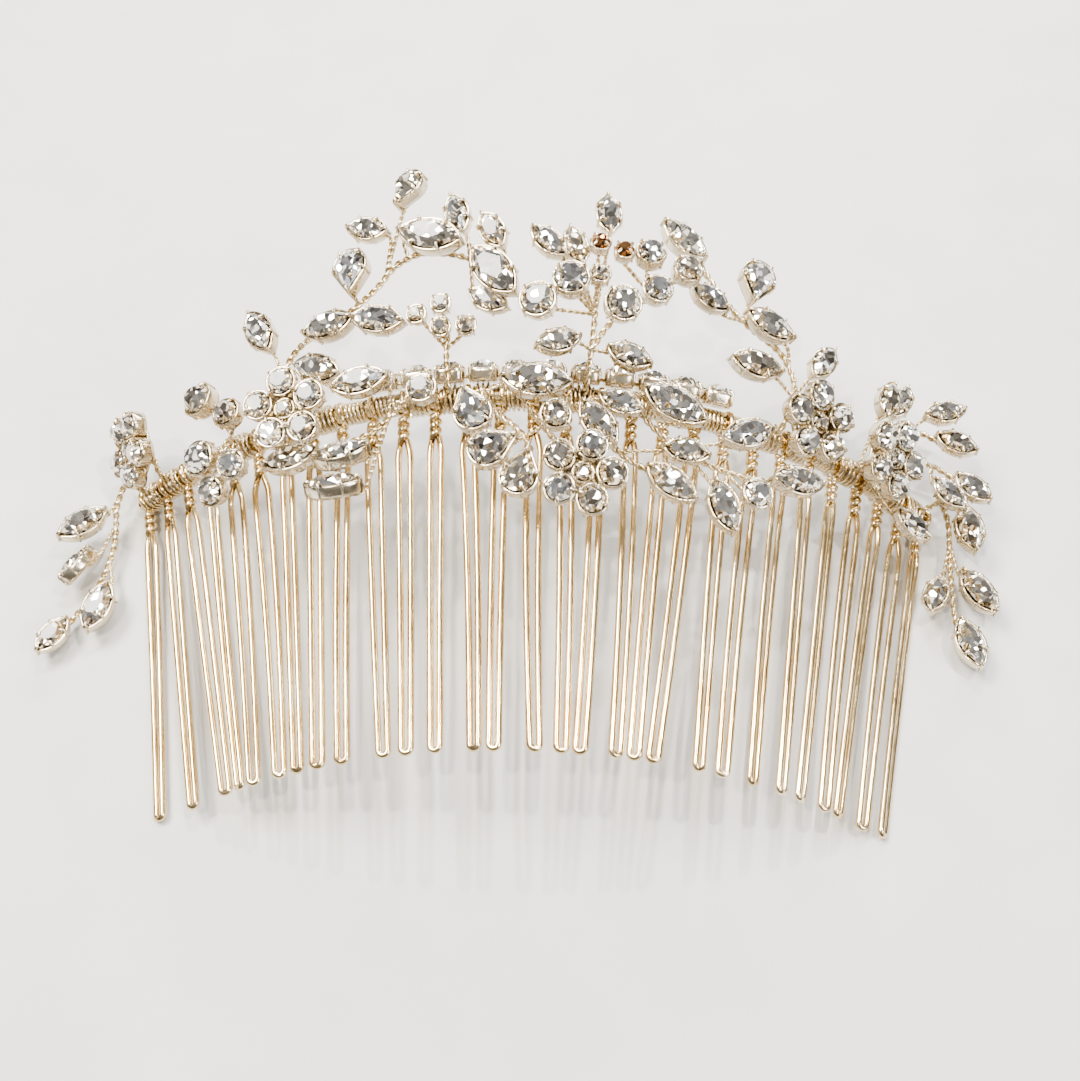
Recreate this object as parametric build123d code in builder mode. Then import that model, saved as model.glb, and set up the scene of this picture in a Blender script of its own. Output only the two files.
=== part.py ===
from build123d import *
from math import acos, asin, atan2, cos, degrees, hypot, radians, sin, sqrt, tan
import os

# A bridal hair comb: a row of wire teeth on a bowed spine, and sprays of set crystals tied to it.
# Millimetres. The comb lies as it would on a table: humped side up, teeth towards -Y, +Z up.

# ---- the row of teeth
tooth_count = 29
tooth_pitch = 3.9  # along the spine
tooth_reach = 42.0  # spine centre line to the centre line of the wire at the tip
tooth_wire = 0.8
leg_gap_top = 1.45  # between the legs' centre lines, under the neck
leg_gap_tip = 1.05
neck_length = 5.0  # spine centre line to the foot of the twisted neck
neck_diameter = 1.8
head_curve = 40.0  # degrees from the middle tooth to the last one, over the head
fan_angle = 15.0  # degrees that the last tooth leans in, flat in the row
shoulder_length = 1.2
shoulder_bend = 1.0
shoulder_drop = 0.4  # the legs leave the neck this far below its foot
leg_sink = 0.05  # each leg keeps this far inside the skin of the neck
tip_flat = 0.02  # straight wire left between the two bends of the tip
eye_thickness_gap = 0.05  # each side of an eye, to the binding

# ---- the spine and what is wound and set on it
spine_diameter = 1.8
spine_overhang = 1.0  # past the last tooth
eye_gap = 0.05  # between the spine and an eye
binding_wire = 0.5
binding_gap = 0.05  # between the spine and the binding
chain_first = -4.5  # places are in tooth pitches from the middle
chain_last = 5.5
chain_tilt = 66.0  # degrees that the chain leans back from the comb's face
chain_gap = 0.02  # between the chain and the eyes it lies on

# ---- wires of the sprays
stem_diameter = 0.8
twig_diameter = 0.5
solder_depth = 0.12  # how far a twig sinks into the floor of its setting
solder_length = 2.0
bend_share = 0.45
root_rise = 1.2  # a stem stands straight off the binding for this far

# ---- crystals and settings
wall = 0.3
cup_floor = 0.4
stone_gap = 0.05  # round a stone, inside its cup
girdle = 0.3
table_share = 0.6
culet_share = 0.25

# kind: outline, length, width, crown height, pavilion depth
stone_kinds = {
    "big": ("marquise", 7.6, 3.7, 0.9, 1.3),
    "leaf": ("marquise", 6.2, 3.0, 0.8, 1.1),
    "bud": ("marquise", 4.8, 2.5, 0.7, 0.9),
    "pear": ("pear", 5.4, 3.9, 0.9, 1.2),
    "drop": ("pear", 4.4, 3.1, 0.8, 1.0),
    "large_round": ("round", 3.7, 3.7, 0.9, 1.3),
    "round": ("round", 3.0, 3.0, 0.8, 1.1),
    "bead": ("round", 1.9, 1.9, 0.6, 0.8),
}

chain_stone = "round"
petal_count = 5
petal_gap = 0.12  # between neighbouring petal cups
flower_plate = 0.5

# ---- the surface that the comb follows: a cone, its axis towards the tips
half_row = (tooth_count - 1) / 2 * tooth_pitch
row_turn = hypot(head_curve, fan_angle)
cone_slope = atan2(fan_angle, head_curve)
cone_radius = half_row / radians(row_turn)
eye_radius = spine_diameter / 2 + eye_gap + tooth_wire / 2
eye_outer = eye_radius + tooth_wire / 2
binding_outer = spine_diameter / 2 + binding_gap + binding_wire
rest_shift = Vector(1.1, 11.0, 0)  # puts the middle of the whole comb over the origin


def end_slope(axis_dip):
    """How steeply the spine falls at its last tooth."""
    return sin(radians(row_turn)) * cos(axis_dip)


def eye_drop(axis_dip):
    """Depth of the end eye under its centre: a ring about the spine."""
    return eye_radius * sqrt(1 - end_slope(axis_dip) ** 2) + tooth_wire / 2


def tip_drop(axis_dip):
    """Depth of the end tooth's tip under the tooth's middle line: its outer leg lies lower."""
    return leg_gap_tip / 2 * end_slope(axis_dip) + tooth_wire / 2


def resting_dip():
    """Dip of the cone's axis with both end teeth and both end eyes on the table."""
    fall = cos(radians(row_turn)) * sin(cone_slope)
    level_reach = hypot(cos(cone_slope), fall)
    dip = 0.0
    for step in range(8):
        sink = (eye_drop(dip) - tip_drop(dip)) / tooth_reach
        dip = asin(sink / level_reach) - atan2(fall, cos(cone_slope))
    return dip


axis_dip = resting_dip()
cone_axis = Vector(0, -cos(axis_dip), -sin(axis_dip))
middle_radial = Vector(0, -sin(axis_dip), cos(axis_dip))
end_height = cone_radius * middle_radial.Z * (1 - cos(radians(row_turn))) + eye_drop(axis_dip)
spine_middle = rest_shift + Vector(0, 0, end_height)
cone_centre = spine_middle - middle_radial * cone_radius


def comb_plane(place):
    """Plane at a place on the spine: x along it, y away from the tips, z out of the comb's face."""
    turn = place * tooth_pitch / cone_radius
    radial = middle_radial * cos(turn) + Vector(1, 0, 0) * sin(turn)
    along = Vector(1, 0, 0) * cos(turn) - middle_radial * sin(turn)
    outward = radial * cos(cone_slope) + cone_axis * sin(cone_slope)
    return Plane(origin=cone_centre + radial * cone_radius, x_dir=along, z_dir=outward)


def level_plane(place):
    """The same origin as comb_plane, with the axes level: for sprays that hang off the ends."""
    return Plane(origin=comb_plane(place).origin, x_dir=(1, 0, 0), z_dir=(0, 0, 1))


# ---- small helpers
def wire_run(points, diameter):
    """A round wire along straight runs joined by arcs as wide as the runs allow."""
    corners = [Vector(*point) for point in points]
    runs = [b - a for a, b in zip(corners, corners[1:])]
    radii = []
    for before, after in zip(runs, runs[1:]):
        half_bend = radians(before.get_angle(after)) / 2
        radii.append(bend_share * min(before.length, after.length) / tan(half_bend))
    with BuildPart() as wire:
        with BuildLine() as path:
            if radii:
                FilletPolyline(*corners, radius=radii)
            else:
                Line(*corners)
        with BuildSketch(Plane(origin=corners[0], z_dir=runs[0])):
            Circle(diameter / 2)
        sweep(path=path.line)
    return wire.part


def turned(point, heading=0.0, lift=0.0, roll=0.0):
    """Place with x at a heading in the plane, lifted out of it, then rolled about itself."""
    return Pos(*point) * Rot(0, 0, heading) * Rot(0, -lift, 0) * Rot(roll, 0, 0)


def outline(shape, length, width):
    """One closed outline about its own middle, its point or its stalk end towards -X."""
    with BuildSketch() as sketch:
        if shape == "round":
            Circle(length / 2)
        elif shape == "marquise":
            with BuildLine():
                ThreePointArc((-length / 2, 0), (0, width / 2), (length / 2, 0))
                ThreePointArc((length / 2, 0), (0, -width / 2), (-length / 2, 0))
            make_face()
        else:
            bow = width / 2
            reach = length - bow  # from the point to the centre of the round end
            lean = acos(bow / reach)
            centre = length / 2 - bow
            side = (centre - bow * cos(lean), bow * sin(lean))
            with BuildLine():
                Line((-length / 2, 0), side)
                ThreePointArc(side, (length / 2, 0), (side[0], -side[1]))
                Line((side[0], -side[1]), (-length / 2, 0))
            make_face()
    return sketch.sketch


def crystal(kind):
    """A cut stone: girdle from z=0 up, crown over it and pavilion under it."""
    shape, length, width, crown, pavilion = stone_kinds[kind]
    with BuildPart() as stone:
        with BuildSketch():
            add(outline(shape, length, width))
        extrude(amount=girdle)
        with BuildSketch(Plane.XY.offset(girdle)):
            add(outline(shape, length, width))
        with BuildSketch(Plane.XY.offset(girdle + crown)):
            add(outline(shape, length * table_share, width * table_share))
        loft()
        with BuildSketch():
            add(outline(shape, length, width))
        with BuildSketch(Plane.XY.offset(-pavilion)):
            add(outline(shape, length * culet_share, width * culet_share))
        loft()
    return stone.part


def cup(kind):
    """The closed setting of one crystal, its underside at z=0."""
    shape, length, width, crown, pavilion = stone_kinds[kind]
    with BuildPart() as setting:
        with BuildSketch():
            add(outline(shape, length, width))
            offset(amount=stone_gap + wall)
        extrude(amount=cup_floor + pavilion + girdle / 2)
        with BuildSketch(Plane.XY.offset(cup_floor)):
            add(outline(shape, length, width))
            offset(amount=stone_gap)
        extrude(amount=pavilion + girdle, mode=Mode.SUBTRACT)
    return setting.part


crystals = {kind: crystal(kind) for kind in stone_kinds}
cups = {kind: cup(kind) for kind in stone_kinds}


def cup_half(kind):
    """Half the length of a cup, outside."""
    return stone_kinds[kind][1] / 2 + stone_gap + wall


def seat_height(kind):
    """Height of a crystal's girdle over the underside of its cup."""
    return cup_floor + stone_kinds[kind][4]


def set_stone(frame, stones, place, kind):
    """Adds a cup to the frame and its crystal to the list, with the cup's underside at place."""
    frame.append(cups[kind].located(place))
    stones.append(crystals[kind].located(place * Pos(0, 0, seat_height(kind))))


def twig_place(kind, point, heading, lift, roll):
    """Place of a cup that lies on the end of its twig, the twig's axis under it."""
    rise = twig_diameter / 2 - solder_depth
    return turned(point, heading, lift, roll) * Pos(cup_half(kind), 0, rise)


def leaf(frame, stones, kind, point, heading, lift=0.0, roll=0.0, twig=None):
    """A pointed crystal whose cup starts at point, on a twig of its own or right on the stem."""
    if twig:
        under = turned(point, heading, lift, roll) * Pos(solder_length, 0, 0)
        frame.append(wire_run([twig, point, tuple(under.position)], twig_diameter))
    set_stone(frame, stones, twig_place(kind, point, heading, lift, roll), kind)


def rose(frame, stones, kind, point, tilt, foot):
    """A round crystal on the end of a post that comes up from foot."""
    place = Pos(*point) * Rot(*tilt)
    under = place * Pos(0, 0, -stem_diameter)
    inside = place * Pos(0, 0, solder_depth)
    points = [foot, tuple(under.position), tuple(inside.position)]
    frame.append(wire_run(points, twig_diameter))
    set_stone(frame, stones, place, kind)


def flower(frame, stones, petal, heart, point, tilt, spin, post):
    """Petal cups in a ring on a small plate, a heart crystal in the middle, and a post."""
    place = Pos(*point) * Rot(*tilt)
    petal_reach = (cup_half(petal) + petal_gap / 2) / sin(radians(180 / petal_count))
    with BuildPart() as plate:
        with BuildSketch():
            Circle(petal_reach + petal_gap)
        extrude(amount=flower_plate)
    frame.append(plate.part.located(place))
    top = place * Pos(0, 0, flower_plate)
    for petal_number in range(petal_count):
        turn = spin + 360 / petal_count * petal_number
        set_stone(frame, stones, top * Rot(0, 0, turn) * Pos(petal_reach, 0, 0), petal)
    set_stone(frame, stones, top, heart)
    inside = place * Pos(0, 0, solder_depth)
    under = place * Pos(0, 0, -stem_diameter)
    frame.append(wire_run([*post, tuple(under.position), tuple(inside.position)], stem_diameter))


def write(node, label):
    node.part.label = label
    export_step(node.part, "parts/" + label + ".step")


def write_spray(name, plane, frame, stones):
    """One node for the soldered frame and one for its crystals."""
    with BuildPart() as spray_frame:
        with Locations(plane):
            for piece in frame:
                add(piece)
    write(spray_frame, name + "_frame")
    with BuildPart() as spray_crystals:
        with Locations(plane):
            for piece in stones:
                add(piece)
    write(spray_crystals, name + "_crystals")


root = [(0, 0, binding_outer), (0, 0, binding_outer + root_rise)]  # a stem leaves the binding here


def level_root(place):
    """The same root, seen from the level plane."""
    on_comb = [comb_plane(place).from_local_coords(Vector(*point)) for point in root]
    return [tuple(level_plane(place).to_local_coords(point)) for point in on_comb]


def middle(stem, run):
    """Halfway along one run of a stem, where its centre line is sure to pass."""
    return tuple((Vector(*stem[run]) + Vector(*stem[run + 1])) / 2)


def spray_on(plane, frame, stones):
    """A spray's pieces moved to where they stand on the comb."""
    return [piece.moved(plane.location) for piece in frame], [piece.moved(plane.location) for piece in stones]


os.makedirs("parts", exist_ok=True)

# ---- teeth: each is one hairpin with a twisted neck and an eye round the spine
with BuildPart() as hairpin:
    Torus(eye_radius, tooth_wire / 2, rotation=(0, 90, 0))
    neck_top = binding_outer + eye_thickness_gap
    with BuildSketch(Plane.XZ.offset(neck_top)):
        Circle(neck_diameter / 2)
    extrude(amount=neck_length - neck_top)
    leg_start = (neck_diameter - tooth_wire) / 2 - leg_sink
    turn_in = (leg_gap_tip - tip_flat) / 2
    shoulder_top = -neck_length - shoulder_drop
    with BuildLine() as legs:
        FilletPolyline(
            (-leg_start, -neck_length + shoulder_length, 0),
            (-leg_start, shoulder_top, 0),
            (-leg_gap_top / 2, shoulder_top - shoulder_length, 0),
            (-leg_gap_tip / 2, -tooth_reach, 0),
            (leg_gap_tip / 2, -tooth_reach, 0),
            (leg_gap_top / 2, shoulder_top - shoulder_length, 0),
            (leg_start, shoulder_top, 0),
            (leg_start, -neck_length + shoulder_length, 0),
            radius=[shoulder_bend, shoulder_bend, turn_in, turn_in, shoulder_bend, shoulder_bend],
        )
    with BuildSketch(Plane(origin=legs.line @ 0, z_dir=legs.line % 0)):
        Circle(tooth_wire / 2)
    sweep(path=legs.line)

for number in range(tooth_count):
    with BuildPart() as tooth:
        with Locations(comb_plane(number - (tooth_count - 1) / 2)):
            add(hairpin.part)
    write(tooth, f"tooth_{number + 1:02d}")

# ---- spine: one wire bent round the cone's axis
end_turn = row_turn + degrees(spine_overhang / cone_radius)
spine_end = (half_row + spine_overhang) / tooth_pitch
spine_start = comb_plane(-spine_end)
with BuildPart() as spine:
    with BuildSketch(Plane(origin=spine_start.origin, z_dir=spine_start.x_dir)):
        Circle(spine_diameter / 2)
    revolve(axis=Axis(cone_centre, -cone_axis), revolution_arc=2 * end_turn)
write(spine, "spine")

# ---- binding: one close winding between each two eyes
binding_length = tooth_pitch - tooth_wire - 2 * eye_thickness_gap
with BuildPart() as binding:
    for number in range(tooth_count - 1):
        gap_middle = comb_plane(number + 0.5 - (tooth_count - 1) / 2)
        winding = Plane(origin=gap_middle.origin, z_dir=gap_middle.x_dir)
        with BuildSketch(winding.offset(-binding_length / 2)):
            Circle(binding_outer)
            Circle(binding_outer - binding_wire, mode=Mode.SUBTRACT)
        extrude(amount=binding_length)
write(binding, "binding")

# ---- cup chain along the back of the spine, one cup to a tooth gap
chain_frame = []
chain_stones = []
chain_places = [chain_first + step for step in range(round(chain_last - chain_first) + 1)]
for place in chain_places:
    seat = comb_plane(place).location * Rot(-chain_tilt, 0, 0) * Pos(0, 0, eye_outer + chain_gap)
    set_stone(chain_frame, chain_stones, seat, chain_stone)
write_spray("cup_chain", Plane.XY, chain_frame, chain_stones)

# ---- left arch: a stem that rises behind the spine and comes over to the middle
frame, stones = [], []
stem = root + [(0, 2.0, 3.8), (0.8, 7.6, 3.2), (3.5, 9.2, 3.6), (9.5, 9.8, 4.8), (14.4, 12.0, 5.2)]
stem += [(16.8, 14.2, 5.4), (20.5, 15.0, 5.2), (24.4, 13.6, 4.4), (27.4, 11.8, 3.6), (28.9, 10.2, 3.2)]
frame.append(wire_run(stem, stem_diameter))
leaf(frame, stones, "leaf", (-0.6, 8.2, 3.8), 112, 0, 0, middle(stem, 2))
leaf(frame, stones, "leaf", (4.4, 8.6, 4.4), 1, 0, 0, middle(stem, 3))
leaf(frame, stones, "leaf", (2.6, 5.8, 3.4), -28, 0, 10, middle(stem, 2))
leaf(frame, stones, "pear", (11.4, 11.2, 5.4), 84, 0, 0, middle(stem, 5))
leaf(frame, stones, "leaf", (11.0, 8.4, 5.0), -20, -6, 0, middle(stem, 4))
leaf(frame, stones, "bud", (17.2, 17.8, 6.2), 160, 6, 0, middle(stem, 6))
leaf(frame, stones, "drop", (19.0, 20.2, 6.6), 50, 0, -10, middle(stem, 6))
leaf(frame, stones, "big", (18.6, 16.8, 6.6), -24, -8, 0, middle(stem, 7))
leaf(frame, stones, "bud", (26.2, 15.0, 4.9), 98, 6, 0, middle(stem, 9))
leaf(frame, stones, "big", (27.0, 12.8, 4.6), -60, -8, 0, middle(stem, 9))
leaf(frame, stones, "bud", (30.2, 12.6, 3.2), 110, 8, 0, middle(stem, 10))
leaf(frame, stones, "bud", (24.8, 9.4, 1.5), -38, -6, 0, middle(stem, 9))
write_spray("left_arch", comb_plane(-7.5), frame, stones)

# ---- left vine: runs down over the teeth towards the left end
frame, stones = [], []
stem = root + [(-1.4, -1.8, 3.2), (-4.6, -4.4, 2.4), (-9.0, -5.6, 1.8), (-13.6, -7.0, 1.6)]
frame.append(wire_run(stem, stem_diameter))
leaf(frame, stones, "leaf", (-2.4, 1.2, 4.0), -172, 0, 0, middle(stem, 2))
leaf(frame, stones, "leaf", (-5.0, -7.8, 2.4), -172, 0, 40, middle(stem, 2))
leaf(frame, stones, "leaf", (-6.0, -12.0, 2.1), -178, 0, 50, middle(stem, 2))
leaf(frame, stones, "leaf", middle(stem, 4), -166, 0, 10)
rose(frame, stones, "round", (1.8, -1.6, 4.8), (0, 0, 0), middle(stem, 1))
write_spray("left_vine", comb_plane(-3.5), frame, stones)

# ---- left flowers: two of five petals, and two small clusters between them
frame, stones = [], []
flower(frame, stones, "round", "bead", (-1.8, -1.6, 6.1), (10, 6, 0), 18, root)
left_flower_frame, left_flower_stones = spray_on(comb_plane(-6.5), frame, stones)
frame, stones = [], []
stem = root + [(-0.3, -0.6, 3.4), (-0.5, -2.2, 3.2), (-0.6, -4.6, 3.0)]
frame.append(wire_run(stem, stem_diameter))
rose(frame, stones, "large_round", (-1.6, 4.4, 4.8), (-6, -8, 0), middle(stem, 0))
rose(frame, stones, "round", (1.8, 1.4, 4.6), (0, 6, 0), middle(stem, 1))
rose(frame, stones, "large_round", (-1.8, -3.4, 5.0), (8, -6, 0), middle(stem, 2))
rose(frame, stones, "round", (1.8, -5.2, 4.4), (14, 8, 0), middle(stem, 3))
rose(frame, stones, "round", (-1.2, -7.4, 4.2), (20, -4, 0), middle(stem, 3))
more_frame, more_stones = spray_on(comb_plane(-9.5), frame, stones)
left_flower_frame += more_frame
left_flower_stones += more_stones
frame, stones = [], []
flower(frame, stones, "round", "bead", (-1.0, 3.8, 4.2), (10, -22, 0), 40, root)
more_frame, more_stones = spray_on(comb_plane(-12.5), frame, stones)
left_flower_frame += more_frame
left_flower_stones += more_stones
write_spray("left_flowers", Plane.XY, left_flower_frame, left_flower_stones)

# ---- left drop: hangs off the end of the spine, down to the table
frame, stones = [], []
stem = level_root(-13.5) + [(-3.8, 0.8, 1.8), (-4.8, -2.2, 0.6), (-4.2, -7.0, -0.2), (-5.0, -11.6, -0.8)]
stem += [(-7.2, -16.0, -1.2), (-9.2, -19.0, -1.4)]
frame.append(wire_run(stem, stem_diameter))
leaf(frame, stones, "leaf", (-5.4, -3.4, 0.6), -140, 4, 0, middle(stem, 2))
leaf(frame, stones, "bud", (-5.8, -8.8, 0.0), -122, 0, 60, middle(stem, 3))
leaf(frame, stones, "leaf", (-3.8, -12.8, -0.8), -104, 0, 0, middle(stem, 4))
leaf(frame, stones, "bud", middle(stem, 6), -122)
write_spray("left_drop", level_plane(-13.5), frame, stones)

# ---- middle flowers: a small one behind the spine and a hanging one over the teeth
frame, stones = [], []
stem = root + [(0.1, 2.4, 4.2), (0.2, 6.6, 4.0)]
frame.append(wire_run(stem, stem_diameter))
rose(frame, stones, "bead", (-3.0, 8.4, 5.0), (8, -6, 0), middle(stem, 2))
rose(frame, stones, "bead", (-0.2, 9.4, 5.2), (4, 0, 0), middle(stem, 2))
rose(frame, stones, "bead", (-0.2, 6.4, 5.2), (12, 0, 0), middle(stem, 2))
rose(frame, stones, "bead", (2.6, 6.4, 5.0), (8, 8, 0), middle(stem, 2))
middle_frame, middle_stones = spray_on(comb_plane(-2.5), frame, stones)
frame, stones = [], []
post = root + [(1.4, -2.6, 2.4), (5.2, -7.6, 1.9), (7.3, -10.8, 2.2)]
flower(frame, stones, "round", "bead", (7.6, -12.2, 4.2), (10, 4, 0), 0, post)
more_frame, more_stones = spray_on(comb_plane(-0.5), frame, stones)
write_spray("middle_flowers", Plane.XY, middle_frame + more_frame, middle_stones + more_stones)

# ---- centre spray: pears, a leaf and a round stone under the spine
frame, stones = [], []
stem = root + [(0.4, -1.8, 3.4), (1.8, -4.0, 3.4), (4.2, -6.0, 3.6), (5.7, -8.2, 3.6), (5.7, -10.2, 3.6)]
frame.append(wire_run(stem, stem_diameter))
leaf(frame, stones, "pear", (-2.0, -1.2, 3.8), -70, 0, 0, middle(stem, 1))
leaf(frame, stones, "big", (2.4, -0.6, 4.4), -7, -2, 0, middle(stem, 1))
leaf(frame, stones, "pear", (4.4, -7.8, 4.0), -154, 0, 0, middle(stem, 4))
leaf(frame, stones, "pear", middle(stem, 5), -108)
rose(frame, stones, "round", (8.6, -5.4, 4.4), (6, 6, 0), middle(stem, 4))
write_spray("centre_spray", comb_plane(-1.5), frame, stones)

# ---- centre vine
frame, stones = [], []
stem = root + [(1.6, -1.4, 3.0), (3.4, -3.2, 2.6), (6.4, -6.6, 2.4), (9.4, -9.2, 2.6), (12.4, -10.6, 2.2)]
frame.append(wire_run(stem, stem_diameter))
leaf(frame, stones, "leaf", (3.4, -2.8, 3.6), -54, 0, 0, middle(stem, 2))
leaf(frame, stones, "bud", (5.4, -1.6, 3.4), -22, 0, 0, middle(stem, 2))
leaf(frame, stones, "leaf", middle(stem, 5), -34, -6)
leaf(frame, stones, "bud", (12.8, -7.6, 2.6), -10, 0, 0, middle(stem, 4))
write_spray("centre_vine", comb_plane(0.5), frame, stones)

# ---- right vine
frame, stones = [], []
stem = root + [(1.6, -1.6, 3.0), (4.4, -4.6, 2.8), (10.2, -8.0, 2.8), (15.1, -8.9, 2.2), (20.6, -8.2, 0.9)]
frame.append(wire_run(stem, stem_diameter))
leaf(frame, stones, "big", (2.2, -0.4, 4.0), -26, 0, 0, middle(stem, 1))
leaf(frame, stones, "leaf", (11.6, -5.4, 3.2), 22, -6, 0, middle(stem, 3))
leaf(frame, stones, "leaf", middle(stem, 5), 4, -14)
leaf(frame, stones, "leaf", (10.9, -10.2, 3.0), -68, -4, 0, middle(stem, 3))
rose(frame, stones, "round", (15.8, -11.6, 3.4), (6, 6, 0), middle(stem, 4))
write_spray("right_vine", comb_plane(2.5), frame, stones)

# ---- centre flower: round stones on posts, with leaves and two small warm stones
frame, stones = [], []
stem = root + [(0, 1.6, 4.8), (0.2, 5.0, 7.0), (0.3, 9.6, 7.4)]
frame.append(wire_run(stem, stem_diameter))
side_stem = [middle(stem, 2), (2.0, 6.6, 6.9), (5.6, 9.8, 7.4), (6.6, 12.2, 7.6)]
frame.append(wire_run(side_stem, stem_diameter))
rose(frame, stones, "bead", (0.4, 10.6, 9.2), (-6, 0, 0), middle(stem, 3))
rose(frame, stones, "large_round", (-6.2, 6.8, 9.0), (8, -14, 0), middle(stem, 3))
rose(frame, stones, "large_round", (-2.8, 9.6, 9.2), (0, -6, 0), middle(stem, 3))
rose(frame, stones, "large_round", (2.9, 7.2, 9.2), (10, 6, 0), middle(side_stem, 1))
rose(frame, stones, "round", (6.8, 9.4, 9.0), (0, 8, 0), middle(side_stem, 1))
rose(frame, stones, "round", (10.2, 12.4, 8.8), (-6, 12, 0), middle(side_stem, 2))
rose(frame, stones, "round", (6.0, 13.8, 9.2), (-10, 4, 0), middle(side_stem, 2))
rose(frame, stones, "bead", (0.2, 14.4, 9.8), (-8, 0, 0), middle(stem, 3))
rose(frame, stones, "bead", (3.0, 13.6, 9.8), (-8, 0, 0), middle(side_stem, 2))
leaf(frame, stones, "bud", (1.4, 16.4, 8.8), 96, 0, 0, middle(stem, 3))
leaf(frame, stones, "bud", (-3.6, 12.8, 9.0), 140, 0, 0, middle(stem, 3))
leaf(frame, stones, "bud", (-1.6, 13.0, 7.0), 108, 0, 0, middle(stem, 3))
leaf(frame, stones, "bud", (-1.4, 3.6, 7.0), 200, 4, 0, middle(stem, 2))
leaf(frame, stones, "bud", (1.8, 3.2, 6.0), -20, 0, 0, middle(stem, 2))
write_spray("centre_flower", comb_plane(1.5), frame, stones)

# ---- right arch: leans back over the middle
frame, stones = [], []
stem = root + [(0.4, 2.0, 3.8), (1.2, 6.6, 3.2), (-1.0, 10.2, 3.0), (-5.4, 11.4, 3.4), (-8.8, 12.4, 4.2)]
stem += [(-12.8, 15.2, 4.8), (-15.4, 17.6, 5.2)]
frame.append(wire_run(stem, stem_diameter))
leaf(frame, stones, "leaf", (-0.8, 11.0, 3.8), 166, 0, 0, middle(stem, 3))
leaf(frame, stones, "pear", (-7.0, 13.6, 4.2), 86, 0, 0, middle(stem, 5))
leaf(frame, stones, "bud", (-10.0, 11.2, 4.4), 158, -4, 0, middle(stem, 5))
leaf(frame, stones, "leaf", middle(stem, 7), 148, -6)
leaf(frame, stones, "bud", (2.4, 7.2, 3.6), 62, 0, 0, middle(stem, 2))
leaf(frame, stones, "leaf", (-1.4, 6.4, 3.2), 180, -4, 0, middle(stem, 2))
write_spray("right_arch", comb_plane(7.5), frame, stones)

# ---- right flowers: two of five petals
frame, stones = [], []
flower(frame, stones, "round", "bead", (-1.6, 0.6, 5.0), (10, 8, 0), 30, root)
right_flower_frame, right_flower_stones = spray_on(comb_plane(8.5), frame, stones)
frame, stones = [], []
flower(frame, stones, "round", "bead", (1.2, 0.6, 5.2), (14, 12, 0), 8, root)
leaf(frame, stones, "bud", (1.0, 6.6, 3.4), 84, 0, 0, middle(root, 0))
leaf(frame, stones, "bud", (5.6, -4.0, 2.4), -30, 10, 0, middle(root, 0))
more_frame, more_stones = spray_on(comb_plane(10.5), frame, stones)
write_spray("right_flowers", Plane.XY, right_flower_frame + more_frame, right_flower_stones + more_stones)

# ---- right end spray: two short stems off the end of the spine
frame, stones = [], []
stem = level_root(12.5) + [(1.0, 2.4, 3.6), (0.4, 7.0, 3.4), (3.6, 8.2, 3.2), (7.4, 6.2, 2.4)]
low_stem = [middle(stem, 1), (3.8, 4.4, 1.8), (6.8, 4.0, 0.6), (9.4, 1.8, 0.2)]
frame.append(wire_run(stem, stem_diameter))
frame.append(wire_run(low_stem, stem_diameter))
leaf(frame, stones, "bud", (-0.2, 8.8, 3.8), 62, 0, 0, middle(stem, 2))
leaf(frame, stones, "bud", (4.0, 9.4, 3.8), 10, 0, 0, middle(stem, 3))
leaf(frame, stones, "bud", middle(stem, 4), -26)
leaf(frame, stones, "bud", (5.0, 1.6, 1.2), -50, 0, 0, middle(low_stem, 1))
leaf(frame, stones, "bud", middle(low_stem, 2), -44)
write_spray("right_end", level_plane(12.5), frame, stones)

# ---- right drop: hangs off the other end, down to the table
frame, stones = [], []
stem = level_root(13.5) + [(3.6, 0.8, 1.8), (4.6, -2.0, 0.6), (4.4, -6.8, -0.4), (4.2, -12.0, -1.0)]
stem.append((4.6, -17.4, -1.4))
frame.append(wire_run(stem, stem_diameter))
leaf(frame, stones, "leaf", (6.2, 0.2, 0.8), -84, 0, 0, middle(stem, 1))
leaf(frame, stones, "leaf", (5.2, -8.4, -0.4), -58, -2, 0, middle(stem, 3))
leaf(frame, stones, "bud", (3.2, -9.4, -0.6), -112, 0, 20, middle(stem, 3))
leaf(frame, stones, "leaf", middle(stem, 5), -74)
write_spray("right_drop", level_plane(13.5), frame, stones)
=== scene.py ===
import math
import random
import bpy
from mathutils import Euler, Matrix, Vector


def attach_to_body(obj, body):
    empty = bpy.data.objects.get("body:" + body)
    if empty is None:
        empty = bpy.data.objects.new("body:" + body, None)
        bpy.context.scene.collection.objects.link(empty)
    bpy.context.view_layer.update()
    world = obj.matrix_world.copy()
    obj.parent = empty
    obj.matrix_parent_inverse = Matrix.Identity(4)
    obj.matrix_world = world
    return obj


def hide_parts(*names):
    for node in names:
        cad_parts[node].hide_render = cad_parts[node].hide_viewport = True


# A bridal hair comb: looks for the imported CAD, in the same frame. Lengths in settings are millimetres.
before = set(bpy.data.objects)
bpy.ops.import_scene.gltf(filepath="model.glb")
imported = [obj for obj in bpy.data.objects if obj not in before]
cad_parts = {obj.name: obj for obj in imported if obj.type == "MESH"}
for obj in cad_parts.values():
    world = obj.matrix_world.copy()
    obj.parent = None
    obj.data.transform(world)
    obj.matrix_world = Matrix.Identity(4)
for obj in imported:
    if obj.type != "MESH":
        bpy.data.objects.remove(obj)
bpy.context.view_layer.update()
print("frame loaded")
mm = 0.001
rng = random.Random(11)

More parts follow.
